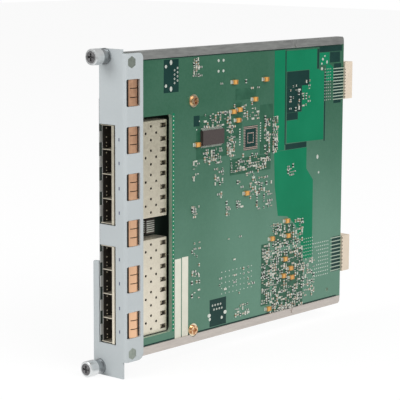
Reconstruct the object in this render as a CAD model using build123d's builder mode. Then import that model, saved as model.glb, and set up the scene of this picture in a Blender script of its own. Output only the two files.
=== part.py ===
from build123d import *
import os

os.makedirs("parts", exist_ok=True)

# A plug-in switch blade that stands on edge, front panel towards -Y, side flange towards +X.
# Places are given from the panel's lower left front corner: across (X), deep (Y) and high (Z).

# Front panel, one folded steel sheet
panel_width = 25.9
panel_height = 190.0
panel_sheet = 1.2
panel_bend = 2.5
panel_corner = 1.2
flange_depth = 14.7
flange_bottom = 9.9
flange_top = panel_height - 2.3
flange_lower_corner = 4.2
flange_upper_corner = 3.0
step_width = 5.4
step_height = 67.2

# Port bays, two ganged cages of four
port_pitch = 14.25
ports_in_cage = 4
cage_gap = 12.9
lower_cage_height = 48.1
upper_cage_height = lower_cage_height + ports_in_cage * port_pitch + cage_gap
cage_sheet = 0.4
cage_fold = 0.35
cage_body = 9.8
cage_front = 1.4
cage_rear = 46.7
bay_clearance = 0.5
mouth_left = 4.4
mouth_right = 17.9
base_front = 2.2
base_rear = 36.5
vent_deep = 33.0
vent_step = 4.5
vent_spread = 4.0
vent_radius = 0.85
vent_sides = 8
tab_front = 41.05
tab_rear = 45.95
tab_width = 2.7
tab_tongue = 1.6
tab_run = 3.6
tab_drop = 1.8
tongue_width = 6.4
tongue_front = 0.2
divider_sheet = 0.4
divider_front = 2.0
collar_front = 0.4
collar_lip = 1.5
collar_leg = 8.5
collar_slit = 0.8
connector_gap = 0.3
connector_length = 8.2
connector_width = 12.4
connector_height = 6.4
connector_slot = 1.3
connector_slot_high = 3.4
connector_slot_depth = 6.0
connector_end = 0.9

# Boards
port_board_face = 5.2
port_board_sheet = 1.6
port_board_front = 1.6
port_board_rear = 76.0
port_board_bottom = 12.0
port_board_top = 161.0
main_board_face = 18.0
main_board_sheet = 2.4
main_board_front = 2.2
main_board_rear = 217.1
main_board_bottom = 10.1
main_board_top = panel_height - 3.1
notch_rear = 48.0
notch_bottom = 19.2
notch_top = 149.6
notch_corner = 2.5
board_corner = 2.5
tooling_hole = 1.3
tooling_hole_deep = 202.7
tooling_hole_high = 20.1

# Standoffs and brass screws that tie the two boards together
standoff_deep = 66.6
upper_standoff_high = 156.1
lower_standoff_high = 16.8
standoff_radius = 2.9
board_screw_washer = 3.9
board_screw_washer_rise = 0.7
board_screw_head = 2.9
board_screw_rise = 2.0
board_screw_shank = 1.5
board_screw_length = 6.4
board_screw_slot = 0.9
board_screw_cross = 3.6
board_screw_recess = 0.9

# Mezzanine link between the boards
link_deep = 58.5
link_depth = 6.0
link_height = 30.0
link_split = 4.2
link_tongue = 2.4
link_tongue_rise = 2.5

# Chips and capacitors
bus_chip_deep = 83.2
bus_chip_high = 133.1
bus_chip_size = (19.6, 9.0, 2.3)
port_chip_deep = 40.5
port_chip_high = 82.6
port_chip_size = (7.0, 8.6, 2.4)
main_asic_deep = 160.0
main_asic_high = 76.0
main_asic_size = (31.0, 31.0, 2.4)
bridge_chip_deep = 120.8
bridge_chip_high = 129.2
bridge_chip_size = (17.0, 17.0, 1.9)
memory_deep = 128.0
memory_highs = (58.0, 80.0)
memory_size = (10.0, 14.0, 1.2)
capacitor_size = (3.6, 2.6, 1.9)
capacitor_places = [
    (104.4, 164.9), (134.6, 164.8), (123.9, 153.1), (103.2, 146.9),
    (108.9, 147.7), (107.6, 141.3), (69.9, 129.6), (116.6, 95.0),
    (157.6, 72.3), (142.3, 62.7), (158.8, 62.5), (156.0, 47.6),
    (161.9, 40.7), (154.6, 36.8), (163.1, 34.6), (139.5, 17.6),
]
sink_size = 38.0
sink_base = 1.8
sink_fins = 9
sink_fin = 1.2
sink_rise = 5.6

# Edge rails, folded channels that grip the main board's long edges
rail_sheet = 1.0
rail_leg = 5.0
rail_front = 9.5
rail_rear = 215.6
rail_corner = 2.2
rail_screw_clearance = 0.3

# Clinched standoffs, hexagonal heads flush in the flange, with a screw each through the main board
flange_standoff_deep = 5.4
flange_standoff_highs = (flange_bottom + 4.7, flange_top - 5.0)
flange_standoff_hex = 3.55
flange_standoff_body = 2.6
flange_standoff_sink = 0.15
flange_standoff_bore = 5.0
flange_screw_head = 2.6
flange_screw_rise = 1.4
flange_screw_shank = 1.5
flange_screw_length = 7.0
flange_screw_slot = 0.8
flange_screw_cross = 3.2
flange_screw_recess = 0.7

# Rivets through rail and board
rivet_deep = 164.5
rivet_shank = 0.9
rivet_head = 1.5
rivet_head_height = 0.5

# Copper finger gaskets in the flange windows, and the channel behind them
window_count = 6
first_window_high = flange_bottom + 21.5
last_window_high = flange_top - 22.3
window_deep = 6.7
window_depth = 10.8
window_height = 15.4
window_corner = 0.5
gasket_deep = 7.85
gasket_sheet = 0.3
gasket_depth = 7.4
gasket_fingers = 3
gasket_bends = 6
gasket_spine = 0.7
gasket_slit = 0.5
gasket_crest = 0.1
gasket_lap = 1.5
gasket_root = 0.3
gasket_clearance = 0.2
carrier_front = 2.6
carrier_rear = 13.6
carrier_sheet = 0.6
carrier_rise = 1.4
carrier_margin = 3.0

# Captive thumbscrews
upper_screw_across = 10.4
upper_screw_high = panel_height - 4.4
lower_screw_across = 4.9
lower_screw_high = 4.9
knob_radius = 4.7
knob_length = 6.3
knob_chamfer = 0.5
knob_gap = 4.4
knob_end = 1.6
knob_travel = 3.5
knob_margin = 0.2
collar_radius = 4.7
collar_flange = 0.9
collar_tube = 4.0
collar_bore = 3.4
collar_spigot = 3.0
collar_reach = 1.0
shank_radius = 1.75
shank_reach = 8.0
slide_clearance = 0.08
turn_clearance = 0.05
ring_radius = 3.0
ring_sheet = 0.6
ring_neck = 1.3
ring_gap = 0.05
ring_mouth = 2.2
recess_width = 1.1
recess_length = 4.6
recess_depth = 1.2
spring_radius = 2.6
spring_wire = 0.5
spring_turns = 5
spring_bends = 12

# Backplane connectors, straddling the board's rear edge
plug_front_gap = 0.2
plug_depth = 8.2
plug_face = 19.2
plug_back = 8.4
upper_plug_bottom = 146.7
upper_plug_top = 171.0
upper_lead_count = 11
upper_lead_pitch = 2.02
lower_plug_bottom = 30.6
lower_plug_top = 54.6
lower_lead_count = 10
lower_lead_pitch = 2.46
lead_width = 0.6
lead_height = 0.3
lead_length = 12.6
lead_margin = 0.9
lead_offset = {"upper": -1.75, "lower": 0.6}
contact_hole = 1.1
contact_depth = 6.0
contact_columns = 3
contact_rows = 9

knob_reach = collar_flange + knob_gap + knob_length
rear_reach = main_board_rear + plug_front_gap + plug_depth
x_left = -panel_width / 2
y_face = (knob_reach - rear_reach) / 2
rod_sides = 16
barrel_sides = 24


def front_plane(deep):
    """Sketch plane parallel to the panel: sketch x is across, y is high; extrude < 0 goes deeper."""
    return Plane(origin=(x_left, y_face + deep, 0), x_dir=(1, 0, 0), z_dir=(0, -1, 0))


def side_plane(across):
    """Sketch plane parallel to the boards: sketch x is deep, y is high; extrude > 0 goes outwards."""
    return Plane(origin=(x_left + across, y_face, 0), x_dir=(0, 1, 0), z_dir=(1, 0, 0))


def back_plane(across):
    """The side plane seen from behind: sketch x is deep, y is minus high; extrude > 0 goes to -X."""
    return Plane(origin=(x_left + across, y_face, 0), x_dir=(0, 1, 0), z_dir=(-1, 0, 0))


def level_plane(high):
    """Sketch plane that lies flat: sketch x is across, y is deep; extrude > 0 goes up."""
    return Plane(origin=(x_left, y_face, high), x_dir=(1, 0, 0), z_dir=(0, 0, 1))


def span(low_x, high_x, low_y, high_y, mode=Mode.ADD):
    """A rectangle between two corners of the open sketch."""
    with Locations(((low_x + high_x) / 2, (low_y + high_y) / 2)):
        Rectangle(high_x - low_x, high_y - low_y, mode=mode)


def rod(place, radius, length, sides=rod_sides, mode=Mode.ADD):
    """A many-sided rod or bore from a place along its normal; a negative length goes back."""
    with BuildSketch(place) as section:
        RegularPolygon(radius, sides)
    extrude(section.sketch, amount=length, mode=mode)


def write(builder, name):
    """Label a finished piece and write its STEP file."""
    builder.part.label = name
    export_step(builder.part, f"parts/{name}.step")


cage_half = ports_in_cage * port_pitch / 2
cage_face = port_board_face + cage_body
mouth_half = cage_half + bay_clearance
flange_inner = panel_width - panel_sheet
board_inner = main_board_face - main_board_sheet
cage_heights = {"upper": upper_cage_height, "lower": lower_cage_height}
port_offsets = [(i - (ports_in_cage - 1) / 2) * port_pitch for i in range(ports_in_cage)]
divider_offsets = [(i - ports_in_cage / 2) * port_pitch for i in range(1, ports_in_cage)]
window_pitch = (last_window_high - first_window_high) / (window_count - 1)
window_heights = [first_window_high + i * window_pitch for i in range(window_count)]
screw_places = {
    "upper": (upper_screw_across, upper_screw_high),
    "lower": (lower_screw_across, lower_screw_high),
}
rails = {"top": (main_board_top, 1), "bottom": (main_board_bottom, -1)}
rivet_heights = [edge - way * (rail_leg - rail_sheet) / 2 for edge, way in rails.values()]
standoff_places = [(standoff_deep, upper_standoff_high), (standoff_deep, lower_standoff_high)]

# Front panel: the sheet is bent once, then notched, stepped and pierced
with BuildPart() as front_panel:
    with BuildSketch(level_plane(0)):
        with BuildLine():
            bend_inner = panel_bend - panel_sheet
            FilletPolyline((0, 0), (panel_width, 0), (panel_width, flange_depth), radius=panel_bend)
            Line((panel_width, flange_depth), (flange_inner, flange_depth))
            inner_corner = (flange_inner, panel_sheet)
            FilletPolyline((flange_inner, flange_depth), inner_corner, (0, panel_sheet), radius=bend_inner)
            Line((0, panel_sheet), (0, 0))
        make_face()
    extrude(amount=panel_height)
    with BuildSketch(side_plane(panel_width)):
        span(0, flange_depth, 0, flange_bottom)
        span(0, flange_depth, flange_top, panel_height)
    extrude(amount=-panel_bend, mode=Mode.SUBTRACT)
    for end, radius in ((0, flange_lower_corner), (-1, flange_upper_corner)):
        flange_edges = front_panel.edges().filter_by(Axis.X).group_by(Axis.Y)[-1]
        fillet(flange_edges.sort_by(Axis.Z)[end], radius=radius)
    with BuildSketch(front_plane(0)):
        span(0, step_width, step_height, panel_height)
    extrude(amount=-panel_bend, mode=Mode.SUBTRACT)
    corners = front_panel.edges().filter_by(Axis.Y)
    fillet(corners.filter_by_position(Axis.X, x_left, x_left + step_width), radius=panel_corner)
    with BuildSketch(front_plane(0)):
        for middle in cage_heights.values():
            span(mouth_left, mouth_right, middle - mouth_half, middle + mouth_half)
        for place in screw_places.values():
            with Locations(place):
                Circle(collar_spigot + turn_clearance)
    extrude(amount=-panel_bend, mode=Mode.SUBTRACT)
    with BuildSketch(side_plane(panel_width)) as windows:
        with Locations([(window_deep, high) for high in window_heights]):
            Rectangle(window_depth, window_height)
        chamfer(windows.vertices(), length=window_corner)
    extrude(amount=-panel_bend, mode=Mode.SUBTRACT)
    with BuildSketch(side_plane(panel_width)):
        with Locations([(flange_standoff_deep, high) for high in flange_standoff_highs]):
            RegularPolygon(flange_standoff_hex, 6, rotation=30)
    extrude(amount=-panel_sheet, mode=Mode.SUBTRACT)
write(front_panel, "front_panel")

# Gasket springs: three arched copper fingers between two spines, lapped behind the flange at both ends
gasket_front = gasket_deep - gasket_depth / 2
gasket_rear = gasket_deep + gasket_depth / 2
finger_rise = panel_sheet + gasket_sheet - gasket_crest
for index, high in enumerate(window_heights):
    with BuildPart() as gasket:
        with BuildSketch(level_plane(high - window_height / 2 + gasket_clearance)):
            with BuildLine():
                arch = ThreePointArc(
                    (flange_inner - gasket_sheet, gasket_front),
                    (flange_inner - gasket_sheet + finger_rise, gasket_deep),
                    (flange_inner - gasket_sheet, gasket_rear),
                    mode=Mode.PRIVATE,
                )
                outer = [arch @ (bend / gasket_bends) for bend in range(gasket_bends + 1)]
                inner = [point - (gasket_sheet, 0) for point in reversed(outer)]
                Polyline(*outer, *inner, close=True)
            make_face()
        extrude(amount=window_height - 2 * gasket_clearance)
        with BuildSketch(side_plane(panel_width)):
            for step in range(1, gasket_fingers):
                slit_high = high + (step - gasket_fingers / 2) * window_height / gasket_fingers
                with Locations((gasket_deep, slit_high)):
                    Rectangle(gasket_depth - 2 * gasket_spine, gasket_slit)
        extrude(amount=-panel_bend, mode=Mode.SUBTRACT)
        lap_inner = window_height / 2 - gasket_clearance - gasket_root
        lap_outer = window_height / 2 + gasket_lap
        with BuildSketch(side_plane(flange_inner)):
            span(gasket_front, gasket_rear, high - lap_outer, high - lap_inner)
            span(gasket_front, gasket_rear, high + lap_inner, high + lap_outer)
        extrude(amount=-gasket_sheet)
    write(gasket, f"gasket_spring_{index + 1}")

# Gasket carrier: one black channel behind all the windows
with BuildPart() as gasket_carrier:
    carrier_reach = window_height / 2 + carrier_margin
    with BuildSketch(side_plane(flange_inner)):
        span(carrier_front, carrier_rear, first_window_high - carrier_reach, last_window_high + carrier_reach)
    extrude(amount=-carrier_rise)
    with BuildSketch(side_plane(flange_inner)):
        span(
            carrier_front + carrier_sheet,
            carrier_rear - carrier_sheet,
            first_window_high - carrier_reach,
            last_window_high + carrier_reach,
        )
    extrude(amount=carrier_sheet - carrier_rise, mode=Mode.SUBTRACT)
write(gasket_carrier, "gasket_carrier")

# Transceiver cages: a folded cover, a base plate with latch tongues, dividers and a sprung mouth collar
with BuildPart() as cover:
    with BuildSketch(side_plane(port_board_face)):
        span(cage_front, cage_rear, -cage_half, cage_half)
    extrude(amount=cage_body)
    folds = cover.edges().group_by(Axis.X)[-1].sort_by(Axis.Y)[1:]
    fillet(folds, radius=cage_fold)
    with BuildSketch(side_plane(port_board_face)):
        span(cage_front, cage_rear - cage_sheet, cage_sheet - cage_half, cage_half - cage_sheet)
    extrude(amount=cage_body - cage_sheet, mode=Mode.SUBTRACT)
    with BuildSketch(side_plane(cage_face)):
        for offset in port_offsets:
            with Locations(
                (vent_deep, offset - vent_spread),
                (vent_deep, offset + vent_spread),
                (vent_deep - vent_step, offset),
                (vent_deep + vent_step, offset),
            ):
                RegularPolygon(vent_radius, vent_sides)
    extrude(amount=-cage_sheet, mode=Mode.SUBTRACT)
    tab_offsets = [offset + way * vent_spread for offset in port_offsets for way in (-1, 1)]
    with BuildSketch(side_plane(cage_face)):
        for offset in tab_offsets:
            span(tab_front, tab_rear, offset - tab_width / 2, offset + tab_width / 2)
    extrude(amount=-cage_sheet, mode=Mode.SUBTRACT)
    for offset in tab_offsets:
        with BuildSketch(level_plane(offset - tab_tongue / 2)):
            with BuildLine():
                Polyline(
                    (cage_face, tab_front),
                    (cage_face - tab_drop, tab_front + tab_run),
                    (cage_face - tab_drop - cage_sheet, tab_front + tab_run),
                    (cage_face - cage_sheet, tab_front),
                    close=True,
                )
            make_face()
        extrude(amount=tab_tongue)

with BuildPart() as base:
    with BuildSketch(side_plane(port_board_face)):
        span(base_front, base_rear, cage_sheet - cage_half, cage_half - cage_sheet)
        for offset in port_offsets:
            span(tongue_front, base_front, offset - tongue_width / 2, offset + tongue_width / 2)
    extrude(amount=cage_sheet)

with BuildPart() as divider:
    with BuildSketch(side_plane(port_board_face + cage_sheet)):
        span(divider_front, base_rear, -divider_sheet / 2, divider_sheet / 2)
    extrude(amount=cage_body - 2 * cage_sheet)

with BuildPart() as collar:
    with BuildSketch(level_plane(-cage_half)):
        with BuildLine():
            Polyline(
                (cage_face, collar_front),
                (cage_face - cage_sheet, collar_front),
                (cage_face - cage_sheet, collar_front + cage_sheet),
                (cage_face, collar_front + cage_sheet),
                (cage_face, collar_front + collar_leg),
                (cage_face + cage_sheet, collar_front + collar_leg),
                (cage_face + cage_sheet, collar_front + cage_sheet),
                (cage_face + collar_lip, collar_front + cage_sheet),
                (cage_face + collar_lip, collar_front),
                close=True,
            )
        make_face()
    extrude(amount=2 * cage_half)
    with BuildSketch(side_plane(cage_face)):
        for offset in divider_offsets:
            with Locations((collar_front + cage_sheet + collar_leg / 2, offset)):
                Rectangle(collar_leg, collar_slit)
    extrude(amount=cage_sheet, mode=Mode.SUBTRACT)

with BuildPart() as port_connector:
    with BuildSketch(side_plane(port_board_face)):
        with Locations((base_rear + connector_gap + connector_length / 2, 0)):
            Rectangle(connector_length, connector_width)
    extrude(amount=connector_height)
    with BuildSketch(front_plane(base_rear + connector_gap)):
        with Locations((port_board_face + connector_slot_high, 0)):
            Rectangle(connector_slot, connector_width - 2 * connector_end)
    extrude(amount=-connector_slot_depth, mode=Mode.SUBTRACT)

for group, (side, middle) in enumerate(cage_heights.items()):
    lift = Location((0, 0, middle))
    for builder, name in ((cover, "cover"), (base, "base"), (collar, "collar")):
        piece = builder.part.moved(lift)
        piece.label = f"{side}_cage_{name}"
        export_step(piece, f"parts/{side}_cage_{name}.step")
    for index, offset in enumerate(divider_offsets):
        piece = divider.part.moved(Location((0, 0, middle + offset)))
        piece.label = f"{side}_cage_divider_{index + 1}"
        export_step(piece, f"parts/{side}_cage_divider_{index + 1}.step")
    for index, offset in enumerate(port_offsets):
        number = group * ports_in_cage + index + 1
        piece = port_connector.part.moved(Location((0, 0, middle + offset)))
        piece.label = f"port_connector_{number}"
        export_step(piece, f"parts/port_connector_{number}.step")

# Boards: the main board's front notch leaves room for the cages, the port board carries them
with BuildPart() as main_board:
    with BuildSketch(side_plane(board_inner)) as board_outline:
        span(main_board_front, main_board_rear, main_board_bottom, main_board_top)
        fillet(board_outline.vertices().group_by(Axis.X)[-1], radius=board_corner)
        with Locations((0, (notch_bottom + notch_top) / 2)):
            RectangleRounded(2 * notch_rear, notch_top - notch_bottom, notch_corner, mode=Mode.SUBTRACT)
        with Locations((tooling_hole_deep, tooling_hole_high)):
            Circle(tooling_hole, mode=Mode.SUBTRACT)
        with Locations(standoff_places):
            RegularPolygon(board_screw_shank, rod_sides, mode=Mode.SUBTRACT)
        with Locations([(flange_standoff_deep, high) for high in flange_standoff_highs]):
            RegularPolygon(flange_screw_shank, rod_sides, mode=Mode.SUBTRACT)
        with Locations([(rivet_deep, high) for high in rivet_heights]):
            RegularPolygon(rivet_shank, rod_sides, mode=Mode.SUBTRACT)
    extrude(amount=main_board_sheet)
write(main_board, "main_board")

with BuildPart() as port_board:
    with BuildSketch(side_plane(port_board_face)):
        span(port_board_front, port_board_rear, port_board_bottom, port_board_top)
        with Locations(standoff_places):
            RegularPolygon(board_screw_shank, rod_sides, mode=Mode.SUBTRACT)
    extrude(amount=-port_board_sheet)
write(port_board, "port_board")

# Edge rails: a web along the board's edge and a leg on each face, scalloped round the board screws
for side, (edge, way) in rails.items():
    with BuildPart() as rail:
        with BuildSketch(side_plane(board_inner - rail_sheet)) as rail_outline:
            span(rail_front, rail_rear, *sorted((edge + way * rail_sheet, edge - way * (rail_leg - rail_sheet))))
            rear_corners = rail_outline.vertices().group_by(Axis.X)[-1].sort_by(Axis.Y)
            fillet(rear_corners[-1] if side == "top" else rear_corners[0], radius=rail_corner)
        extrude(amount=main_board_sheet + 2 * rail_sheet)
        with BuildSketch(front_plane(rail_front)):
            span(board_inner, main_board_face, *sorted((edge, edge - way * rail_leg)))
        extrude(amount=rail_front - rail_rear, mode=Mode.SUBTRACT)
        with BuildSketch(side_plane(main_board_face)):
            with Locations(standoff_places):
                RegularPolygon(board_screw_washer + rail_screw_clearance, barrel_sides)
        extrude(amount=rail_sheet, mode=Mode.SUBTRACT)
        for high in rivet_heights:
            rod(
                side_plane(board_inner - rail_sheet) * Location((rivet_deep, high, 0)),
                rivet_shank,
                main_board_sheet + 2 * rail_sheet,
                mode=Mode.SUBTRACT,
            )
    write(rail, f"{side}_rail")

# Fasteners, each kind one group
to_top = (Align.CENTER, Align.CENTER, Align.MAX)
to_bottom = (Align.CENTER, Align.CENTER, Align.MIN)


def cross_recess(place, length, width, depth):
    """Cut a cross into the top of a screw."""
    with Locations(place):
        Box(length, width, depth, align=to_top, mode=Mode.SUBTRACT)
        Box(width, length, depth, align=to_top, mode=Mode.SUBTRACT)


with BuildPart() as flange_standoffs:
    for high in flange_standoff_highs:
        with BuildSketch(side_plane(flange_inner)):
            with Locations((flange_standoff_deep, high)):
                RegularPolygon(flange_standoff_hex, 6, rotation=30)
        extrude(amount=panel_sheet - flange_standoff_sink)
        seat = side_plane(main_board_face) * Location((flange_standoff_deep, high, 0))
        rod(seat, flange_standoff_body, flange_inner - main_board_face)
        rod(seat, flange_screw_shank, flange_standoff_bore, mode=Mode.SUBTRACT)
write(flange_standoffs, "flange_standoffs")

with BuildPart() as flange_screws:
    for high in flange_standoff_highs:
        seat = back_plane(board_inner) * Location((flange_standoff_deep, -high, 0))
        rod(seat, flange_screw_head, flange_screw_rise, barrel_sides)
        rod(seat, flange_screw_shank, -flange_screw_length)
        top = seat * Location((0, 0, flange_screw_rise))
        cross_recess(top, flange_screw_cross, flange_screw_slot, flange_screw_recess)
write(flange_screws, "flange_screws")

with BuildPart() as rail_rivets:
    for high in rivet_heights:
        near_seat = side_plane(main_board_face + rail_sheet) * Location((rivet_deep, high, 0))
        far_seat = side_plane(board_inner - rail_sheet) * Location((rivet_deep, high, 0))
        rod(far_seat, rivet_shank, main_board_sheet + 2 * rail_sheet)
        rod(far_seat, rivet_head, -rivet_head_height)
        rod(near_seat, rivet_head, rivet_head_height)
write(rail_rivets, "rail_rivets")

with BuildPart() as board_screws:
    seats = []
    for deep, high in standoff_places:
        seats.append(side_plane(main_board_face) * Location((deep, high, 0)))
        seats.append(back_plane(port_board_face - port_board_sheet) * Location((deep, -high, 0)))
    for seat in seats:
        rod(seat, board_screw_washer, board_screw_washer_rise, barrel_sides)
        rod(seat, board_screw_head, board_screw_rise, barrel_sides)
        rod(seat, board_screw_shank, -board_screw_length)
        top = seat * Location((0, 0, board_screw_rise))
        cross_recess(top, board_screw_cross, board_screw_slot, board_screw_recess)
write(board_screws, "board_screws")

with BuildPart() as board_standoffs:
    with BuildSketch(side_plane(port_board_face)):
        with Locations(standoff_places):
            RegularPolygon(standoff_radius, 6)
            RegularPolygon(board_screw_shank, rod_sides, mode=Mode.SUBTRACT)
    extrude(amount=board_inner - port_board_face)
write(board_standoffs, "board_standoffs")

# Mezzanine connectors, header on the port board and socket on the main board
for side, middle in cage_heights.items():
    with BuildPart() as header:
        with BuildSketch(side_plane(port_board_face)):
            with Locations((link_deep, middle)):
                Rectangle(link_depth, link_height)
        extrude(amount=link_split)
        with BuildSketch(side_plane(port_board_face + link_split)):
            with Locations((link_deep, middle)):
                Rectangle(link_tongue, link_height - link_tongue)
        extrude(amount=link_tongue_rise)
    write(header, f"{side}_link_header")
    with BuildPart() as socket:
        with BuildSketch(side_plane(port_board_face + link_split)):
            with Locations((link_deep, middle)):
                Rectangle(link_depth, link_height)
        extrude(amount=board_inner - port_board_face - link_split)
        with BuildSketch(side_plane(port_board_face + link_split)):
            with Locations((link_deep, middle)):
                Rectangle(link_tongue, link_height - link_tongue)
        extrude(amount=link_tongue_rise, mode=Mode.SUBTRACT)
    write(socket, f"{side}_link_socket")

# Chips: bodies that stand on a board face, heat sink on the switching chip
chips = {
    "bus_chip": (side_plane(main_board_face), bus_chip_deep, bus_chip_high, bus_chip_size),
    "port_chip": (side_plane(port_board_face), port_chip_deep, port_chip_high, port_chip_size),
    "main_asic": (back_plane(board_inner), main_asic_deep, -main_asic_high, main_asic_size),
    "bridge_chip": (back_plane(board_inner), bridge_chip_deep, -bridge_chip_high, bridge_chip_size),
    "memory_chip_1": (back_plane(board_inner), memory_deep, -memory_highs[0], memory_size),
    "memory_chip_2": (back_plane(board_inner), memory_deep, -memory_highs[1], memory_size),
}
for name, (plane, deep, high, size) in chips.items():
    with BuildPart() as chip:
        with Locations(plane * Location((deep, high, 0))):
            Box(*size, align=to_bottom)
    write(chip, name)

with BuildPart() as heat_sink:
    sink_place = back_plane(board_inner - main_asic_size[2]) * Location((main_asic_deep, -main_asic_high, 0))
    with Locations(sink_place):
        Box(sink_size, sink_size, sink_base, align=to_bottom)
    with Locations(sink_place * Location((0, 0, sink_base))):
        with GridLocations(0, (sink_size - sink_fin) / (sink_fins - 1), 1, sink_fins):
            Box(sink_size, sink_fin, sink_rise, align=to_bottom)
write(heat_sink, "heat_sink")

with BuildPart() as capacitors:
    for deep, high in capacitor_places:
        with Locations(side_plane(main_board_face) * Location((deep, high, 0))):
            Box(*capacitor_size, align=to_bottom)
write(capacitors, "tantalum_capacitors")

# Backplane plugs, housings behind the board's rear edge with leads on both board faces
plugs = {
    "upper": (upper_plug_bottom, upper_plug_top, upper_lead_count, upper_lead_pitch),
    "lower": (lower_plug_bottom, lower_plug_top, lower_lead_count, lower_lead_pitch),
}
for side, (low, high, count, pitch) in plugs.items():
    middle = (low + high) / 2 + lead_offset[side]
    plug_front = main_board_rear + plug_front_gap
    with BuildPart() as plug:
        with BuildSketch(front_plane(plug_front)):
            span(plug_back, plug_face, low, high)
        extrude(amount=-plug_depth)
        with BuildSketch(front_plane(plug_front + plug_depth)):
            with Locations(((plug_back + plug_face) / 2, (low + high) / 2)):
                column_pitch = (plug_face - plug_back) / contact_columns
                with GridLocations(column_pitch, pitch, contact_columns, contact_rows):
                    Rectangle(contact_hole, contact_hole)
        extrude(amount=contact_depth, mode=Mode.SUBTRACT)
        for seat in (side_plane(main_board_face), back_plane(board_inner)):
            flip = seat.z_dir.X
            with Locations(seat * Location((plug_front + lead_margin - lead_length / 2, flip * middle, 0))):
                with GridLocations(0, pitch, 1, count):
                    Box(lead_length, lead_width, lead_height, align=to_bottom)
    write(plug, f"{side}_backplane_plug")

# Captive thumbscrews: knob with a threaded shank, pressed-in collar, spring and retaining ring
for side, (across, high) in screw_places.items():
    axle = Location((across, high, 0))
    tube_front = knob_reach - knob_end - knob_travel - knob_margin
    cavity_end = knob_reach - knob_end
    ring_place = panel_sheet + collar_reach + ring_gap
    with BuildPart() as thumbscrew:
        with Locations(front_plane(-knob_reach) * axle):
            Cylinder(knob_radius, knob_length, align=to_top)
        chamfer(thumbscrew.edges().group_by(Axis.Y)[0], length=knob_chamfer)
        cavity = front_plane(-cavity_end) * axle
        rod(cavity, collar_tube + slide_clearance, -knob_length, barrel_sides, Mode.SUBTRACT)
        with Locations(cavity):
            Cylinder(shank_radius, cavity_end + shank_reach, align=to_top)
        groove = front_plane(ring_place - turn_clearance) * axle
        rod(groove, knob_radius, -ring_sheet - 2 * turn_clearance, mode=Mode.SUBTRACT)
        rod(groove, ring_neck, -ring_sheet - 2 * turn_clearance)
        cross_recess(front_plane(-knob_reach) * axle, recess_length, recess_width, recess_depth)
    write(thumbscrew, f"{side}_thumbscrew")
    with BuildPart() as screw_collar:
        with Locations(front_plane(-tube_front) * axle):
            Cylinder(collar_tube, tube_front, align=to_top)
        with Locations(front_plane(-collar_flange) * axle):
            Cylinder(collar_radius, collar_flange, align=to_top)
        mouth = front_plane(-tube_front) * axle
        through = tube_front + panel_sheet + collar_reach
        rod(front_plane(0) * axle, collar_spigot, -panel_sheet - collar_reach, barrel_sides)
        rod(mouth, collar_bore, collar_flange - tube_front, barrel_sides, Mode.SUBTRACT)
        rod(mouth, shank_radius + slide_clearance, -through, mode=Mode.SUBTRACT)
    write(screw_collar, f"{side}_screw_collar")
    with BuildPart() as retaining_ring:
        with BuildSketch(front_plane(ring_place) * axle):
            RegularPolygon(ring_radius, barrel_sides)
            RegularPolygon(ring_neck + turn_clearance, rod_sides, mode=Mode.SUBTRACT)
            with Locations((0, ring_radius)):
                Rectangle(ring_mouth, 2 * ring_radius, mode=Mode.SUBTRACT)
        extrude(amount=-ring_sheet)
    write(retaining_ring, f"{side}_retaining_ring")
    with BuildPart() as spring:
        spring_run = cavity_end - collar_flange - 2 * spring_wire
        coil = Helix(spring_run / spring_turns, spring_run, spring_radius, mode=Mode.PRIVATE)
        bends = spring_turns * spring_bends
        for bend in range(bends + 1):
            with BuildSketch(coil ^ (bend / bends)):
                Rectangle(spring_wire, spring_wire)
        loft(ruled=True)
    coiled = spring.part.moved(front_plane(-collar_flange - spring_wire) * axle)
    coiled.label = f"{side}_screw_spring"
    export_step(coiled, f"parts/{side}_screw_spring.step")
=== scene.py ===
import bpy
import numpy as np
from mathutils import Matrix, Vector


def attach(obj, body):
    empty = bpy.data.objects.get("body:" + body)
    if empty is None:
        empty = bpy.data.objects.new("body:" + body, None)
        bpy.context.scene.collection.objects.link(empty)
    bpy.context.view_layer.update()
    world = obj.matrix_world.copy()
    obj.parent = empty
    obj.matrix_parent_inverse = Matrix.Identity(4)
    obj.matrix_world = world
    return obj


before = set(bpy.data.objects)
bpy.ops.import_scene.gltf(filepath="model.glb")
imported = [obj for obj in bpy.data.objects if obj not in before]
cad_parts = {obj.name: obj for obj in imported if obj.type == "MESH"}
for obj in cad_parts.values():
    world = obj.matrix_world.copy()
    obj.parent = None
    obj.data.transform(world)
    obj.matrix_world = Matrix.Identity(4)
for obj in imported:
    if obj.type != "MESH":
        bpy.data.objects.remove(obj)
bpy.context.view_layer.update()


# The camera stands where the module's front panel and main board are both seen: 41 degrees round from the
# front, 9 degrees up and nearly 1 m away, with a long lens.
camera_place = Vector((0.65612, -0.7827, 0.25361))
camera_ahead = Vector((-0.64787, 0.74536, -0.15719))
camera_right = Vector((0.7543, 0.65652, 0.00413))
camera_up = Vector((-0.10628, 0.11589, 0.98756))
lens = bpy.data.cameras.new("camera")
lens.lens = 150.1
lens.sensor_width = 36
camera = bpy.data.objects.new("camera", lens)
bpy.context.scene.collection.objects.link(camera)
turn = Matrix((camera_right, camera_up, -camera_ahead)).transposed()
camera.matrix_world = Matrix.Translation(camera_place) @ turn.to_4x4()
bpy.context.scene.camera = camera
bpy.context.scene.view_settings.view_transform = "Standard"


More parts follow.
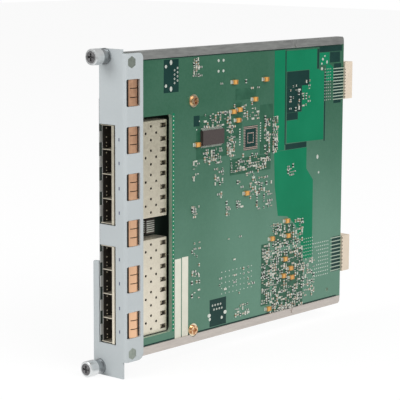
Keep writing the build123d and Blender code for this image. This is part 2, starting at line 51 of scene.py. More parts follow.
# The stage: a white sheet of floor that keeps the module's shadow, two soft lamps and a pale room. Its
# paint is the first to need shader maths, where a wire is one socket's value on its way through a
# material's nodes.
class Wire:
    """A socket's value. Arithmetic on it adds Math nodes, and join adds a node of any other kind."""

    def __init__(self, nodes, socket=None):
        self.nodes = nodes
        self.socket = socket

    def join(self, kind, settings, sockets, out=0):
        """Adds one node: its settings first, then the value or link of each socket."""
        node = self.nodes.new(kind)
        for name, value in settings.items():
            setattr(node, name, value)
        for name, value in sockets.items():
            if isinstance(value, Wire):
                self.nodes.id_data.links.new(value.socket, node.inputs[name])
            else:
                node.inputs[name].default_value = value
        return Wire(self.nodes, node.outputs[out])

    def maths(self, operation, *values):
        return self.join("ShaderNodeMath", {"operation": operation}, dict(enumerate(values)))

    def __add__(self, other):
        return self.maths("ADD", self, other)

    def __sub__(self, other):
        return self.maths("SUBTRACT", self, other)

    def __rsub__(self, other):
        return self.maths("SUBTRACT", other, self)

    def __mul__(self, other):
        return self.maths("MULTIPLY", self, other)

    def __gt__(self, other):
        return self.maths("GREATER_THAN", self, other)

    __radd__ = __add__
    __rmul__ = __mul__

    def axes(self):
        """The x, y and z of a vector."""
        split = self.join("ShaderNodeSeparateXYZ", {}, {0: self}).socket.node
        return [Wire(self.nodes, socket) for socket in split.outputs]

    def noise(self, scale, detail=2.0):
        return self.join("ShaderNodeTexNoise", {}, {"Vector": self, "Scale": scale, "Detail": detail})

    def rise(self, low, high):
        """0 below low, 1 above high, and a smooth step between."""
        return self.join("ShaderNodeMapRange", {"interpolation_type": "SMOOTHSTEP"},
                         {"Value": self, "From Min": low, "From Max": high})

    def tints(self, first, second):
        """The first colour where the wire is 0 and the second where it is 1."""
        return self.join("ShaderNodeMix", {"data_type": "RGBA"}, {0: self, 6: first, 7: second}, 2)

    def bump(self, distance, strength=1.0):
        return self.join("ShaderNodeBump", {}, {"Height": self, "Distance": distance, "Strength": strength})


def tint(red, green, blue):
    """A screen colour of 0 to 255 a channel as the linear colour that a shader takes."""
    screen = np.array([red, green, blue]) / 255
    linear = np.where(screen <= 0.04045, screen / 12.92, ((screen + 0.055) / 1.055) ** 2.4)
    return (*linear.tolist(), 1.0)


def finish(name, **constants):
    """A material with one Principled shader, and the wire of the point that it shades."""
    material = bpy.data.materials.new(name)
    material.use_nodes = True
    nodes = material.node_tree.nodes
    shader = nodes["Principled BSDF"]
    for socket, value in constants.items():
        shader.inputs[socket.replace("_", " ").title().replace("Ior", "IOR")].default_value = value
    point = Wire(nodes).join("ShaderNodeTexCoord", {}, {}, "Object")
    return material, shader, point


floor_size = 4.0
floor_mesh = bpy.data.meshes.new("floor")
corners = [(-floor_size, -floor_size, 0), (floor_size, -floor_size, 0), (floor_size, floor_size, 0),
           (-floor_size, floor_size, 0)]
floor_mesh.from_pydata(corners, [], [(0, 1, 2, 3)])
floor = bpy.data.objects.new("floor", floor_mesh)
bpy.context.scene.collection.objects.link(floor)
floor_paint, floor_shader, floor_point = finish("floor_paint", base_color=tint(232, 232, 232), roughness=0.9)
floor_mesh.materials.append(floor_paint)
# The paint glows white for the camera, and for mirrored rays it glows less away from the module.
sight = floor_point.join("ShaderNodeLightPath", {}, {}, "Is Camera Ray")
mirrored = Wire(floor_point.nodes, sight.socket.node.outputs["Is Glossy Ray"])
away = floor_point.join("ShaderNodeVectorMath", {"operation": "LENGTH"}, {0: floor_point}, "Value")
fade = 0.12 + 0.88 * (1 - away.rise(0.1, 1.3))
white = floor_point.join("ShaderNodeEmission", {},
                         {"Color": (1, 1, 1, 1), "Strength": sight * 1.045 + mirrored * fade})
surface = Wire(floor_point.nodes, floor_shader.outputs[0])
shown = floor_point.join("ShaderNodeMixShader", {}, {0: sight * 0.85 + mirrored, 1: surface, 2: white})
floor_paint.node_tree.links.new(shown.socket, floor_paint.node_tree.nodes["Material Output"].inputs[0])

world = bpy.data.worlds.new("room")
bpy.context.scene.world = world
world.use_nodes = True
room = Wire(world.node_tree.nodes)
seen = room.join("ShaderNodeLightPath", {}, {}, "Is Camera Ray")
shown_white = seen.maths("MAXIMUM", seen, Wire(room.nodes, seen.socket.node.outputs["Is Transmission Ray"]))
room_glow = world.node_tree.nodes["Background"]
world.node_tree.links.new((0.5 + shown_white * 0.5).socket, room_glow.inputs["Strength"])
room_glow.inputs["Color"].default_value = (1, 1, 1, 1)


def softbox(name, place, target, width, height, power):
    """A rectangular lamp at place that faces the target."""
    lamp = bpy.data.lights.new(name, "AREA")
    lamp.shape = "RECTANGLE"
    lamp.size = width
    lamp.size_y = height
    lamp.energy = power
    holder = bpy.data.objects.new(name, lamp)
    holder.location = place
    holder.rotation_euler = (Vector(target) - Vector(place)).to_track_quat("-Z", "Y").to_euler()
    bpy.context.scene.collection.objects.link(holder)


softbox("front_softbox", (-0.5, -1.6, 1.2), (0, -0.05, 0.09), 1.2, 1.2, 18)
softbox("side_softbox", (1.6, -0.1, 1.3), (0, 0, 0.09), 1.4, 1.2, 22)


# Front panel and its folded flange: one sheet of steel, bent along its right side, with a light grey,
# slightly grained powder coat. A plain dark bar is printed beside each port.


def feed(shader, **wires):
    """Links the wires to the shader's sockets of those names."""
    for socket, wire in wires.items():
        shader.id_data.links.new(wire.socket, shader.inputs[socket.replace("_", " ").title()])


def dress(material, *names):
    """Gives a material to CAD nodes."""
    for name in names:
        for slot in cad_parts[name].material_slots:
            slot.material = material


panel_coat, panel_shader, point = finish("panel_coat", roughness=0.45, specular_ior_level=0.4)
grain = point.noise(900.0, 3.0)
cloud = point.noise(25.0)
feed(panel_shader, base_color=(cloud * 0.5 + grain * 0.3).tints(tint(176, 183, 185), tint(193, 199, 201)),
     roughness=0.38 + grain * 0.16, normal=grain.bump(0.00003))
dress(panel_coat, "front_panel")


def in_frame(across, deep, high):
    """Millimetres from the panel's lower left front corner, as metres in the frame."""
    return np.stack([across - 12.95, deep - 106.95, high + 0 * across], axis=-1) / 1000


def solids(name, material, rings, tones=None, body="chassis"):
    """One mesh of closed solids, each a stack of rings of points with a flat cap at both ends.

    rings has the shape solids, rings, points, 3. A solid whose last ring turns against the way from its first
    ring to its last has its points reversed, so that every face looks outwards. tones gives each solid a
    shade from 0 to 1.
    """
    rings = np.array(rings, dtype=float)
    last = rings[:, -1]
    turned = np.cross(last, np.roll(last, -1, axis=1)).sum(axis=1)
    way = last.mean(axis=1) - rings[:, 0].mean(axis=1)
    inside_out = (turned * way).sum(axis=1) < 0
    rings[inside_out] = rings[inside_out][:, :, ::-1]
    count, levels, points = rings.shape[:3]
    index = np.arange(count * levels * points).reshape(count, levels, points)
    beside = np.roll(index, -1, axis=2)
    sides = np.stack([index[:, :-1], beside[:, :-1], beside[:, 1:], index[:, 1:]], axis=-1).reshape(-1, 4)
    caps = np.concatenate([index[:, 0, ::-1], index[:, -1]])
    corners = np.concatenate([sides.ravel(), caps.ravel()])
    sizes = np.concatenate([np.full(len(sides), 4), np.full(len(caps), points)])
    mesh = bpy.data.meshes.new(name)
    mesh.vertices.add(index.size)
    mesh.vertices.foreach_set("co", rings.ravel())
    mesh.loops.add(corners.size)
    mesh.loops.foreach_set("vertex_index", corners)
    mesh.polygons.add(sizes.size)
    mesh.polygons.foreach_set("loop_start", np.cumsum(sizes) - sizes)
    mesh.update(calc_edges=True)
    mesh.shade_flat()
    if tones is not None:
        shade = mesh.attributes.new("tone", "FLOAT", "POINT")
        shade.data.foreach_set("value", np.repeat(np.array(tones, dtype=float), levels * points))
    mesh.materials.append(material)
    piece = bpy.data.objects.new(name, mesh)
    bpy.context.scene.collection.objects.link(piece)
    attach(piece, body)
    return piece


square = np.array([(-0.5, -0.5), (0.5, -0.5), (0.5, 0.5), (-0.5, 0.5)])
mark_ink = finish("mark_ink", base_color=tint(58, 62, 96), roughness=0.6)[0]
mark_highs = np.array([139.0, 125.5, 111.0, 97.0, 70.0, 56.0, 41.5, 27.7])
mark_corners = square * (0.7, 1.9)
mark_across = 20.9 + mark_corners[None, None, :, 0] + np.zeros((8, 2, 1))
mark_deep = np.array([0.0, -0.02])[None, :, None] + 0 * mark_across
mark_high = mark_highs[:, None, None] + mark_corners[None, None, :, 1] + 0 * mark_across
solids("port_marks", mark_ink, in_frame(mark_across, mark_deep, mark_high))


# Gasket springs behind the flange's windows: beryllium copper strip, stamped into fingers and arched, in a
# black moulded channel. The ports' host connectors are moulded in the same black nylon.
gasket_copper, gasket_shader, point = finish("gasket_copper", metallic=1.0, roughness=0.3)
streak = point.noise(400.0, 2.0)
# The copper is painted lighter on the lower springs than on the upper ones: painted light and shade by
# height.
gasket_painted_light_height = point.axes()[2].rise(0.02, 0.18)
gasket_tone = streak.tints(tint(212, 146, 114), tint(244, 196, 162))
feed(gasket_shader, base_color=(gasket_painted_light_height * 0.5).tints(tint(246, 200, 162), gasket_tone),
     roughness=0.26 + streak * 0.16)
dress(gasket_copper, *[f"gasket_spring_{number}" for number in range(1, 7)])
black_nylon, nylon_shader, point = finish("black_nylon", roughness=0.5)
feed(nylon_shader, base_color=point.noise(300.0).tints(tint(22, 21, 22), tint(40, 38, 38)))
dress(black_nylon, "gasket_carrier", *[f"port_connector_{number}" for number in range(1, 9)])
dress(black_nylon, *[f"{side}_link_{half}" for side in ("upper", "lower") for half in ("header", "socket")])


# Two ganged cages of four bays: folded tin-plated sheet with a crystalline spangle, pressed on the port
# board. A black strip inside each mouth's right edge is painted shade, and the base plates have rows of
# pressed dimples.
cage_tin, cage_shader, point = finish("cage_tin", metallic=0.85, roughness=0.4)
spangle = point.join("ShaderNodeTexVoronoi", {}, {"Vector": point, "Scale": 1500.0}, "Color")
shade = spangle.axes()[0]
mottle = point.noise(300.0, 4.0)
# The tin is painted lighter low down and darker higher up: a lit and a shaded copy of one metal, painted
# light and shade.
tin_painted_light_height = point.axes()[2].rise(0.03, 0.16)
painted_shaded_tin = (shade * 0.4 + mottle * 0.6).tints(tint(196, 189, 168), tint(222, 216, 196))
bright = (shade * 0.4 + mottle * 0.6).tints(tint(222, 213, 194), tint(246, 239, 222))
feed(cage_shader, base_color=tin_painted_light_height.tints(bright, painted_shaded_tin), roughness=0.34 + shade * 0.2)
cage_parts = ["cover", "collar", "divider_1", "divider_2", "divider_3"]
dress(cage_tin, *[f"{side}_cage_{part}" for side in ("upper", "lower") for part in cage_parts])
cage_floor_painted_shade, cage_floor_shader, point = finish("cage_floor_painted_shade", roughness=0.6)
# The base plates are pale tin at their front edges and painted near black behind them: painted shade inside
# the cages.
inner = point.axes()[1].rise(-0.1048, -0.1042)
feed(cage_floor_shader, base_color=inner.tints(tint(204, 206, 204), tint(44, 40, 36)),
     metallic=0.7 - inner * 0.7)
dress(cage_floor_painted_shade, "upper_cage_base", "lower_cage_base")
mouth_painted_shade = finish("mouth_painted_shade", base_color=tint(14, 13, 13), roughness=0.95)[0]


def tiles(places, base, rise, outline=square, top=1.0):
    """Rings of flat pieces that lie on a plane parallel to the boards.

    Each row of places holds a piece's middle deep, middle high, length deep and length high in millimetres.
    The outline is stretched to those lengths on the plane at base, and again at base + rise, scaled by top.
    """
    places = np.array(places, dtype=float).reshape(-1, 4)
    scale = np.array([1.0, top])[None, :, None, None]
    flat = outline * scale * places[:, None, None, 2:] + places[:, None, None, :2]
    across = base + np.array([0.0, rise])[None, :, None] + 0 * flat[..., 0]
    return in_frame(across, flat[..., 0], flat[..., 1])


def grid(deeps, highs, length, height):
    """Places for tiles of one size at every crossing of the two lists."""
    deep, high = np.meshgrid(np.array(deeps, dtype=float), np.array(highs, dtype=float))
    lengths = np.full(deep.size, length)
    heights = np.full(deep.size, height)
    return np.stack([deep.ravel(), high.ravel(), lengths, heights], axis=1)


cage_middles = np.array([118.0, 48.1])
bay_pitch = 14.25
# A matte black strip inside each mouth's right edge: painted shade.
solids("mouth_shade_strips", mouth_painted_shade, tiles([(1.6, middle, 0.6, 58.4) for middle in cage_middles], 16.6, 1.7))
bays = (cage_middles[:, None] + (np.arange(4) - 1.5) * bay_pitch).ravel()
around = np.arange(12) * np.pi / 6
circle = np.stack([np.cos(around), np.sin(around)], axis=1) / 2
dimples = (bays[:, None] + np.array([-5.7, -3.8, -0.5, 4.7])).ravel()
solids("base_dimples", cage_tin, tiles(grid([5.6], dimples, 0.9, 0.9), 5.6, 0.25, circle, 0.5))


# Main board and port board: glass-epoxy laminate under green solder mask, bare at the sawn edges, with
# bright copper planes under the mask and darker laminate in the gaps between them.
board_mask, mask_shader, point = finish("board_mask", roughness=0.34, specular_ior_level=0.4)
normal = point.join("ShaderNodeTexCoord", {}, {}, "Normal")
facing = normal.axes()[0]
face = facing.maths("ABSOLUTE", facing) > 0.5
weave = point.noise(700.0, 2.0)
cloud = point.noise(26.0, 3.0)
across, deep, high = point.axes()
# The green is painted lighter towards the bottom and lighter again in the board's middle: a painted
# reflection of the floor in the satin mask, over a real mottle and weave.
lower = 1 - high.rise(0.05, 0.165)
middle = lower * deep.rise(-0.035, 0.01)
green = (cloud * 0.35 + weave * 0.2 + lower * 0.4 + middle * 0.25).tints(tint(8, 78, 50), tint(94, 137, 117))
feed(mask_shader, base_color=face.tints(tint(150, 172, 152), green), roughness=0.3 + weave * 0.12)
dress(board_mask, "main_board")
# The port board's mask is painted near black, darker than the main board's green: painted shade inside the
# cages.
port_mask, port_shader, point = finish("port_mask", roughness=0.4)
feed(port_shader, base_color=point.noise(60.0, 3.0).tints(tint(26, 34, 30), tint(36, 50, 42)))
dress(port_mask, "port_board")
plane_mask, plane_shader, point = finish("plane_mask", roughness=0.32, specular_ior_level=0.12)
feed(plane_shader, base_color=point.noise(40.0, 3.0).tints(tint(0, 112, 76), tint(22, 132, 94)))
dark_mask, dark_shader, point = finish("dark_mask", roughness=0.3, specular_ior_level=0.15)
feed(dark_shader, base_color=point.noise(60.0, 3.0).tints(tint(14, 46, 44), tint(30, 66, 60)))
board_face = 18.0
film = 0.03
planes = {
    "strip_plane": [(144.1, 182.0), (144.1, 120.0), (143.0, 118.2), (154.9, 118.2), (154.9, 182.0)],
    "supply_plane": [
        (156.2, 181.2), (156.2, 168.2), (180.2, 168.2), (180.2, 158.3), (172.6, 158.3), (172.6, 141.6),
        (168.6, 141.6), (168.6, 136.8), (157.0, 136.8), (157.0, 122.5), (196.0, 121.5), (196.0, 166.0),
        (188.0, 168.2), (188.0, 181.2),
    ],
    "return_plane": [
        (144.5, 118.0), (145.5, 96.0), (149.0, 76.5), (159.0, 75.0), (168.0, 68.0), (174.5, 52.0),
        (176.0, 44.0), (185.5, 44.0), (185.5, 96.0), (178.3, 104.0), (178.3, 118.0),
    ],
    "plug_plane": [(198.0, 170.0), (198.0, 159.5), (205.8, 159.5), (205.8, 168.0), (203.0, 170.0)],
    "corner_plane": [(190.8, 178.3), (190.8, 170.3), (201.4, 170.3), (201.4, 178.3)],
    "notch_strip": [(48.5, 150.0), (48.5, 19.0), (50.1, 19.0), (50.1, 150.0)],
}
for name, outline in planes.items():
    solids(name, plane_mask, tiles([(0, 0, 1, 1)], board_face, film, np.array(outline)))
# The two long thin strips along the rails, at high 182.6 and 14.5, are painted shadows of the rails; the rest
# are darker laminate between the planes.
gaps_and_rail_shadows = [
    (168.4, 163.1, 23.0, 9.6), (164.6, 150.0, 15.4, 16.4), (162.7, 139.3, 11.4, 4.6),
    (167.0, 120.0, 22.0, 3.6), (155.55, 151.5, 0.9, 60.0), (189.3, 174.6, 1.8, 12.6),
    (202.8, 180.4, 24.5, 3.6), (207.5, 174.8, 11.0, 6.8), (69.9, 143.7, 5.4, 6.4),
    (118.0, 182.6, 190.0, 0.6), (118.0, 14.5, 190.0, 0.8), (120.9, 129.2, 13.6, 15.2),
    (47.2, 172.0, 13.0, 19.4), (90.5, 23.8, 15.6, 17.0), (197.0, 143.0, 1.2, 45.0),
    (210.5, 157.5, 8.0, 26.0),
]
solids("plane_gaps_and_rail_shadows", dark_mask, tiles(gaps_and_rail_shadows, board_face, film))
dim_mask, dim_shader, point = finish("dim_mask", roughness=0.35, specular_ior_level=0.3)
feed(dim_shader, base_color=point.noise(240.0, 4.0).tints(tint(20, 70, 50), tint(58, 108, 84)))
dim_areas = [
    (86.0, 133.3, 33.0, 26.0), (108.0, 141.0, 8.4, 22.0), (136.5, 133.5, 13.0, 31.0),
    (121.0, 112.5, 40.0, 10.0), (160.0, 34.0, 32.0, 38.0), (137.0, 40.0, 9.0, 40.0),
    (155.0, 63.0, 20.0, 14.0), (116.0, 157.0, 20.0, 7.0),
]
solids("dim_areas", dim_mask, tiles(dim_areas, board_face, film / 2))


# Vias and bare pads: tinned copper on the main board's face, in the strip round the notch, under the hidden
# chip, in the plugs' fields and in the empty footprints.
tinned, tinned_shader, point = finish("tinned", metallic=0.4, roughness=0.35)
feed(tinned_shader, base_color=point.noise(500.0).tints(tint(190, 196, 184), tint(234, 238, 230)))
gold_ring, ring_shader, point = finish("gold_ring", metallic=0.4, roughness=0.4)
feed(ring_shader, base_color=point.noise(300.0).tints(tint(212, 178, 164), tint(244, 220, 208)))
drilled = finish("drilled", base_color=tint(18, 26, 22), roughness=0.8)[0]
strip_highs = np.arange(20.6, 149.0, 2.5)
solids("strip_vias", tinned, tiles(grid([49.3], strip_highs, 0.8, 0.8), board_face, 0.05, circle))
array_deep, array_high = 120.85, 129.2
array_steps = np.arange(-7, 8)
array = grid(array_deep + 0.92 * array_steps, array_high + 1.0 * array_steps, 0.62, 0.62)
reach = np.maximum(abs(array[:, 0] - array_deep) / 6.44, abs(array[:, 1] - array_high) / 7.0)
outer_rows = reach > 0.8
inner_row = (reach > 0.3) & (reach < 0.52)
solids("array_vias", gold_ring, tiles(array[outer_rows | inner_row], board_face, 0.05, circle))
jack_pins = [
    *grid([50.1], [175.2, 172.7, 170.2, 167.7], 1.3, 1.3),
    *grid([52.7], [176.4, 173.9, 171.5, 169.0], 1.3, 1.3),
    *grid([85.4, 87.9, 90.5, 93.0], [28.5], 1.3, 1.3),
    *grid([86.8, 89.3, 91.8, 94.2], [25.8], 1.3, 1.3),
]
bare_pads = [
    (47.0, 179.9, 2.2, 3.0), (47.0, 164.4, 2.2, 3.0), (82.25, 22.7, 3.0, 2.4), (97.4, 22.6, 3.0, 2.4),
    (89.8, 178.7, 1.8, 1.8), (94.4, 178.7, 1.8, 1.8), (89.8, 172.3, 1.8, 1.8), (94.4, 172.3, 1.8, 1.8),
    (190.0, 110.6, 2.2, 2.9), (191.5, 100.2, 1.6, 1.6), (120.6, 18.6, 1.6, 1.6),
    (42.6, 177.7, 2.0, 2.0), (42.6, 166.4, 2.0, 2.0), (82.8, 20.2, 2.0, 2.0), (94.2, 19.7, 2.0, 2.0),
    (72.4, 143.4, 0.9, 0.9), (69.9, 138.5, 0.9, 0.9), (194.3, 174.0, 2.0, 1.8), (198.8, 172.0, 1.8, 2.2),
    (193.4, 167.9, 2.4, 2.0), (196.4, 176.0, 1.6, 1.2), (193.2, 171.2, 1.5, 1.4),
]
solids("jack_pads", tinned, tiles([*jack_pins, *bare_pads], board_face, 0.06, circle))
pin_holes = np.array(jack_pins) * (1, 1, 0.4, 0.4)
solids("drilled_holes", drilled, tiles(pin_holes, board_face, 0.07, circle))
upper_lead_pitch = 2.02
lower_lead_pitch = 2.46
fan = np.concatenate([
    grid(np.arange(187.0, 205.0, 2.0), np.arange(31.0, 55.0, lower_lead_pitch), 0.8, 0.8),
    grid(np.arange(197.0, 205.0, 2.0), np.arange(147.2, 168.0, upper_lead_pitch), 0.7, 0.7),
])
fan = fan[fan[:, 0] - 187.0 + abs(fan[:, 1] - 43.0) * 0.6 > 6.0]
columns = [
    *grid([102.0], np.arange(117.5, 140.0, 1.6), 0.8, 0.8),
    *grid([110.4], np.arange(125.8, 136.5, 1.6), 1.4, 0.9),
    *grid([130.6], np.arange(126.4, 138.2, 1.6), 1.2, 0.9),
    *grid(np.arange(94.0, 125.0, 3.6), np.arange(34.5, 50.0, 3.4), 0.7, 0.7),
    *grid(np.arange(177.0, 186.0, 2.2), np.arange(44.5, 58.5, 2.2), 0.7, 0.7),
]
solids("field_vias", tinned, tiles([*fan, *columns], board_face, 0.05, circle))


# Chip packages and their leads: black epoxy, with tinned gull-wing leads bent down to the board and
# soldered, and a black anodised heat sink on the largest one, on the main board's back.
chip_epoxy, epoxy_shader, point = finish("chip_epoxy", roughness=0.6)
feed(epoxy_shader, base_color=point.noise(800.0).tints(tint(58, 50, 48), tint(78, 68, 66)))
dress(chip_epoxy, "bus_chip", "port_chip", "main_asic", "bridge_chip", "memory_chip_1", "memory_chip_2")
sink_black, sink_shader, point = finish("sink_black", metallic=0.6, roughness=0.5)
feed(sink_shader, base_color=point.noise(300.0).tints(tint(60, 62, 66), tint(84, 86, 90)))
dress(sink_black, "heat_sink")


def leads(deeps, edge, out, base, height, width=0.36, upright=True):
    """Rings of gull-wing leads in a row: out of the package's side, down, and flat to a foot.

    The rings stand along a path of four points, given as reach from the package's edge and height over the
    board. The path starts at half the package's height. Each ring is a rectangle as wide as the lead and
    0.16 mm thick.
    """
    deeps = np.array(deeps, dtype=float)
    reach = np.array([-0.1, 0.35, 0.75, 1.5]) * out
    over = np.array([0.5, 0.5, 0.06, 0.06]) * height
    half_sheet = 0.08 * np.sign(height)
    thick = np.array([-1, -1, 1, 1]) * half_sheet
    wide = np.array([-0.5, 0.5, 0.5, -0.5]) * width
    across = base + over[None, :, None] + thick + half_sheet + 0 * deeps[:, None, None]
    along = deeps[:, None, None] + wide + 0 * across
    away = edge + reach[None, :, None] + 0 * across
    return in_frame(across, along, away) if upright else in_frame(across, away, along)


board_back = 15.6
port_face = 5.2
bus_deeps = 83.2 + 0.8 * (np.arange(24) - 11.5)
bus_leads = [leads(bus_deeps, 137.6, 1, board_face, 2.3), leads(bus_deeps, 128.6, -1, board_face, 2.3)]
port_highs = 82.6 + 1.27 * (np.arange(6) - 2.5)
port_leads = [leads(port_highs, 44.0, 1, port_face, 2.4, 0.6, False),
              leads(port_highs, 37.0, -1, port_face, 2.4, 0.6, False)]
memory_deeps = 128.0 + 0.8 * (np.arange(11) - 5)
memory_leads = [leads(memory_deeps, middle + way * 7.0, way, board_back, -1.2, 0.4)
                for middle in (58.0, 80.0) for way in (1, -1)]
asic_deep, asic_high, asic_half = 160.0, 76.0, 15.5
asic_spots = 1.0 * (np.arange(28) - 13.5)
asic_leads = [leads(asic_deep + asic_spots, asic_high + way * asic_half, way, board_back, -2.4, 0.5)
              for way in (1, -1)]
asic_leads += [leads(asic_high + asic_spots, asic_deep + way * asic_half, way, board_back, -2.4, 0.5, False)
               for way in (1, -1)]
solids("chip_leads", tinned, np.concatenate([*bus_leads, *port_leads, *memory_leads, *asic_leads]))
solids("port_chip_bars", tinned, tiles(grid([40.5], port_highs, 6.6, 0.6), 7.6, 0.05))


# Surface-mounted resistors and capacitors: small ceramic blocks, black, tan or cream, each with two tinned
# ends that are soldered to the boards, on both faces.
small_body, body_shader, point = finish("small_body", roughness=0.5)
tone = point.join("ShaderNodeAttribute", {"attribute_name": "tone"}, {}, "Fac")
warm = (tone > 0.45).tints(tint(44, 42, 42), tint(158, 128, 98))
feed(body_shader, base_color=(tone > 0.8).tints(warm, tint(206, 200, 186)))
chance = np.random.default_rng(11)


def scatter(low, high, step, share):
    """Places of small parts: a share of a grid between two corners, each moved a little and laid either way.

    The grid's steps are step deep and 0.8 of it high, and a part is 1.0, 1.6 or 2.0 mm long and 0.55 as wide.
    """
    cells = grid(np.arange(low[0], high[0], step), np.arange(low[1], high[1], step * 0.8), 0, 0)
    cells = cells[chance.random(len(cells)) < share]
    cells[:, :2] += chance.uniform(-0.12, 0.12, (len(cells), 2)) * step
    long = chance.choice([1.0, 1.6, 2.0], len(cells))
    flat = chance.random(len(cells)) < 0.5
    cells[:, 2] = np.where(flat, long, long * 0.55)
    cells[:, 3] = np.where(flat, long * 0.55, long)
    return cells


capacitor_places = np.array([
    (104.4, 164.9), (134.6, 164.8), (123.9, 153.1), (103.2, 146.9), (108.9, 147.7), (107.6, 141.3),
    (69.9, 129.6), (116.6, 95.0), (157.6, 72.3), (142.3, 62.7), (158.8, 62.5), (156.0, 47.6),
    (161.9, 40.7), (154.6, 36.8), (163.1, 34.6), (139.5, 17.6),
])


def chips_on(name, places, base, rise):
    """Adds the blocks and their tinned ends, clear of the tantalum capacitors.

    An end cap is 0.36 of the block's length and 1.12 of its width, and stands out of the block a little.
    """
    away = np.linalg.norm(places[:, None, :2] - capacitor_places, axis=2).min(axis=1)
    places = places[away > 3.2]
    height = rise * 0.55
    solids(f"{name}_blocks", small_body, tiles(places, base, height), chance.random(len(places)))
    lengthways = places[:, 2] > places[:, 3]
    ends = []
    for way in (-0.5, 0.5):
        end = places.copy()
        end[:, 0] += np.where(lengthways, way * 0.9 * places[:, 2], 0)
        end[:, 1] += np.where(lengthways, 0, way * 0.9 * places[:, 3])
        end[:, 2] *= np.where(lengthways, 0.36, 1.12)
        end[:, 3] *= np.where(lengthways, 1.12, 0.36)
        ends.append(end)
    solids(f"{name}_ends", tinned, tiles(np.concatenate(ends), base, height * 1.08))


front_parts = np.concatenate([
    scatter((142, 14), (176, 72), 2.3, 0.6), scatter((133.5, 22), (140, 60), 2.1, 0.6),
    scatter((176, 20), (188, 44), 2.3, 0.5), scatter((143.2, 118.5), (147.6, 141), 1.9, 0.85),
    scatter((135, 113.6), (139.2, 141), 2.0, 0.7), scatter((67, 107), (72, 121), 2.0, 0.4),
    scatter((66, 86), (73, 93), 1.9, 0.4), scatter((66, 61.5), (73, 71.5), 2.1, 0.3),
    scatter((66, 46), (73, 59), 2.1, 0.3), scatter((66, 36), (73, 42), 2.0, 0.3),
    scatter((67, 171), (75, 181), 2.0, 0.6), scatter((77.5, 139.5), (102, 147), 2.3, 0.62),
    scatter((102.2, 109.8), (137, 116), 2.2, 0.7), scatter((87, 104), (95, 113), 2.2, 0.5),
    scatter((127, 84), (143, 104), 2.4, 0.4), scatter((98, 84), (101, 92), 1.8, 0.6),
    scatter((160, 144), (171, 160.5), 3.0, 0.5), scatter((173.5, 145.5), (185, 162), 3.2, 0.4),
    scatter((159, 101.8), (166, 109), 2.3, 0.6), scatter((150, 13.5), (167, 18.5), 2.1, 0.8),
    scatter((107, 18.6), (122, 26), 2.4, 0.6), scatter((92, 33), (126, 51), 4.6, 0.35),
    scatter((100, 54), (128, 82), 6.0, 0.22), scatter((92, 150), (136, 170), 6.0, 0.25),
    scatter((77, 117), (93, 125.8), 2.1, 0.65), scatter((88, 92), (94, 102), 2.2, 0.3),
    scatter((98.5, 120), (106, 139), 2.0, 0.5), scatter((111, 117), (128, 120), 2.2, 0.6),
    scatter((112, 141), (128, 150), 2.6, 0.5), scatter((117, 104), (130, 108.5), 2.2, 0.5),
    scatter((121, 92), (130, 103), 2.2, 0.45), scatter((108, 87), (112.5, 103), 2.2, 0.4),
])
chips_on("front_parts", front_parts, board_face, 1.0)
hidden_parts = np.concatenate([
    scatter((138, 46), (142, 106), 2.3, 0.6), scatter((178.5, 46), (183, 106), 2.3, 0.6),
    scatter((108, 110), (134, 117), 2.3, 0.6), scatter((90, 120), (108, 160), 3.4, 0.4),
    scatter((140, 120), (200, 170), 4.2, 0.3), scatter((90, 24), (130, 44), 3.6, 0.35),
])
chips_on("hidden_parts", hidden_parts, board_back, -1.0)
port_parts = np.concatenate([scatter((8, 20), (60, 70), 4.2, 0.3), scatter((8, 90), (60, 150), 4.2, 0.3)])
chips_on("port_parts", port_parts, 3.6, -0.9)


# Tantalum capacitors: amber moulded blocks with a brown polarity band, and tinned tabs that are bent under
# them and soldered to pads on the main board.
amber, amber_shader, point = finish("amber", roughness=0.35)
feed(amber_shader, base_color=point.noise(400.0).tints(tint(204, 142, 62), tint(232, 176, 96)))
dress(amber, "tantalum_capacitors")
band_brown = finish("band_brown", base_color=tint(120, 66, 30), roughness=0.4)[0]


def beside_capacitors(offset, length, height):
    """Places for a tile of one size at the same distance deep from each capacitor's middle."""
    sizes = np.full((len(capacitor_places), 2), (length, height))
    return np.concatenate([capacitor_places + (offset, 0), sizes], axis=1)


solids("polarity_bands", band_brown, tiles(beside_capacitors(1.2, 0.6, 2.5), 19.9, film))
tabs = [beside_capacitors(way * 1.95, 0.3, 1.9) for way in (-1, 1)]
solids("capacitor_tabs", tinned, tiles(tabs, board_face, 1.1))
pads = [beside_capacitors(way * 2.7, 1.1, 2.3) for way in (-1, 1)]
solids("capacitor_pads", tinned, tiles(pads, board_face, 0.06))


# Two blank labels on the main board: long strips of white paper, glued side by side next to the lower cage,
# from the bottom rail up.
label_paper, paper_shader, point = finish("label_paper", roughness=0.65)
feed(paper_shader, base_color=point.noise(90.0).tints(tint(208, 207, 192), tint(232, 229, 214)))
labels = [(53.4, 37.8, 5.6, 49.0), (59.8, 38.4, 5.6, 48.6)]
solids("blank_labels", label_paper, tiles(labels, board_face, 0.09))


# Edge rails: folded aluminium channels that grip the main board's long edges, dulled and finely grained
# along their length, and held by a rivet each.
rail_skin, rail_shader, point = finish("rail_skin", metallic=0.7, roughness=0.45)
drawn = point.join("ShaderNodeMapping", {}, {"Vector": point, "Scale": (900.0, 120.0, 900.0)})
streak = drawn.noise(1.0, 4.0)
# The same aluminium is painted darker on the top rail and lighter on the bottom rail: painted shade above and
# a painted reflection of the white floor below.
top_rail_painted_shade = point.axes()[2].rise(0.08, 0.1)
lit_rail_copy = streak.tints(tint(184, 176, 170), tint(216, 208, 200))
shaded_rail_copy = streak.tints(tint(124, 124, 124), tint(180, 182, 178))
feed(rail_shader, base_color=top_rail_painted_shade.tints(lit_rail_copy, shaded_rail_copy), roughness=0.36 + streak * 0.2)
dress(rail_skin, "top_rail", "bottom_rail", "rail_rivets")


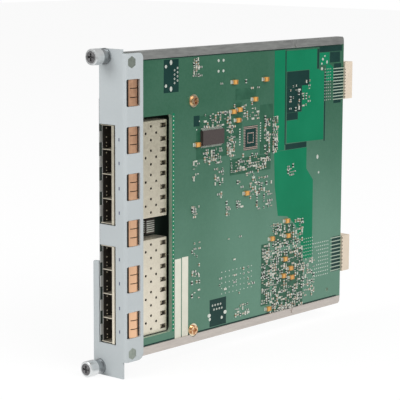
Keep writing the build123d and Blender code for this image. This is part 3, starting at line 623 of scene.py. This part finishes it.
# Fasteners: brass pan-head screws on pale washers and brass standoffs between the boards, and zinc-plated
# hexagon standoffs that are clinched into the flange.
screw_brass, brass_shader, point = finish("screw_brass", metallic=1.0, roughness=0.28)
washer_top = 0.0058
raised = point.axes()[0] > washer_top
head_tone = point.noise(900.0).rise(0.35, 0.65).tints(tint(176, 112, 72), tint(248, 220, 180))
feed(brass_shader, base_color=raised.tints(tint(238, 224, 196), head_tone))
dress(screw_brass, "board_screws", "board_standoffs")
zinc_plate, zinc_shader, point = finish("zinc_plate", metallic=0.8, roughness=0.45)
feed(zinc_shader, base_color=point.noise(600.0).tints(tint(128, 136, 128), tint(168, 176, 166)))
dress(zinc_plate, "flange_standoffs", "flange_screws")


# Captive thumbscrews: nickel-plated turned steel knobs on wire springs, over collars that are pressed into
# the panel. A bright rim stands round each knob's dark end, which keeps the turning tool's rings.
knob_nickel, knob_shader, point = finish("knob_nickel", metallic=0.8, roughness=0.3)
across, deep, high = point.axes()
axle_distances = []
axles = ((-0.00255, 0.1856), (-0.00805, 0.0049))
for axle_across, axle_high in axles:
    side_step = across - axle_across
    high_step = high - axle_high
    squared = side_step * side_step + high_step * high_step
    axle_distances.append(squared.maths("SQRT", squared))
radius = axle_distances[0].maths("MINIMUM", *axle_distances)
knob_end = -0.1172
front_end = (knob_end - deep) > 0
inner = (1 - radius.rise(0.0034, 0.0037)) * front_end
rings = (radius * 9000.0).maths("SINE", radius * 9000.0)
shine = point.noise(300.0).tints(tint(206, 209, 210), tint(236, 238, 238))
feed(knob_shader, base_color=inner.tints(shine, tint(122, 121, 122)), roughness=0.3 + inner * 0.25,
     normal=(rings * inner).bump(0.0001))
collar_steel, collar_shader, point = finish("collar_steel", metallic=0.9, roughness=0.3)
feed(collar_shader, base_color=point.noise(300.0).tints(tint(140, 144, 146), tint(184, 188, 190)))
for side in ("upper", "lower"):
    dress(knob_nickel, f"{side}_thumbscrew")
    dress(collar_steel, f"{side}_screw_collar", f"{side}_retaining_ring", f"{side}_screw_spring")


# Backplane plugs: cream moulded housings on the main board's rear edge, each soldered by a row of pale
# tinned leads on each face, which enter the housing through dark holes.
cream, cream_shader, point = finish("cream", roughness=0.5)
housing = point.noise(250.0).tints(tint(216, 200, 180), tint(230, 214, 194))
board_edge = 0.1103
behind = point.axes()[1] > board_edge
feed(cream_shader, base_color=behind.tints(tint(168, 186, 168), housing))
dress(cream, "upper_backplane_plug", "lower_backplane_plug")
upper_leads_high = 157.1
lower_leads_high = 43.2
lead_shade = [(212.0, upper_leads_high, 9.4, 21.6), (212.0, lower_leads_high, 9.4, 23.6)]
solids("lead_shade", dark_mask, tiles(lead_shade, board_face, 0.04))
lead_highs = np.concatenate([upper_leads_high + upper_lead_pitch * (np.arange(10) - 4.5),
                             lower_leads_high + lower_lead_pitch * (np.arange(9) - 4)])
solids("lead_gaps", drilled, tiles(grid([217.6], lead_highs, 0.7, 1.0), 19.2, film, circle))
